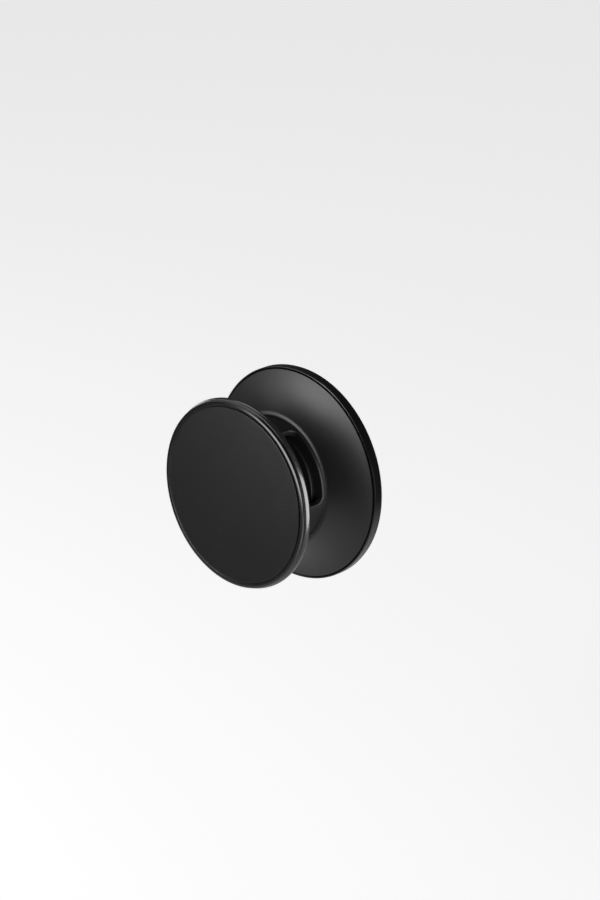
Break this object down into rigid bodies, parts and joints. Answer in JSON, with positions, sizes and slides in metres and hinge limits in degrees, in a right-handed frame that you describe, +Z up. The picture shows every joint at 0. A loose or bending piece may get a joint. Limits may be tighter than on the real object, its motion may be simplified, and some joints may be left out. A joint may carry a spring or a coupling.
{
  "type": "magnetic phone wall mount",
  "caption": "Spool-shaped phone wall mount: adhesive wall disc, hollow collar with windows, and a wide magnetic head that swivels on the collar.",
  "frame": {"origin": "centre of the adhesive pad's outer face, which sticks to the wall", "axes": "+Y along the spool's axis from the wall to the phone, +Z up, +X to the right of a viewer who faces the wall side"},
  "size_m": [0.0586, 0.0262, 0.0586],
  "materials": {
    "adhesive_pad": "matt charcoal acrylic adhesive pad",
    "plate_black": "black, satin with bright rounded edges",
    "spool_black": "satin black moulding",
    "cover_black": "satin black moulding",
    "tray_black": "black with a thin bright edge",
    "face_silicone": "matt black silicone",
    "zinc_steel": "zinc plated",
    "black_steel": "black oxide",
    "spring_steel": "plain spring steel",
    "nickel_magnet": "nickel plated",
    "brass": "turned brass",
    "natural_acetal": "natural acetal",
    "black_acetal": "black acetal"
  },
  "bodies": {
    "base": {"wall_pad": "adhesive_pad", "wall_plate": "plate_black", "plate_screws": "zinc_steel", "post_inserts": "brass", "spool_body": "spool_black", "pivot_bush": "black_acetal"},
    "head": {"retaining_plate": "black_steel", "retaining_screws": "black_steel", "boss_inserts": "brass", "friction_washer": "natural_acetal", "disc_spring": "spring_steel", "glide_ring": "natural_acetal", "head_cover": "cover_black", "head_inserts": "brass", "steel_yoke": "zinc_steel", "magnet_carrier": "black_acetal", "magnets": "nickel_magnet", "head_tray": "tray_black", "head_screws": "zinc_steel", "face_pad": "face_silicone"}
  },
  "joints": [
    {"name": "head_swivel", "type": "hinge", "parent": "base", "child": "head", "pos_m": [0, 0.0166, 0], "axis": [0, 1, 0], "continuous": true}
  ]
}
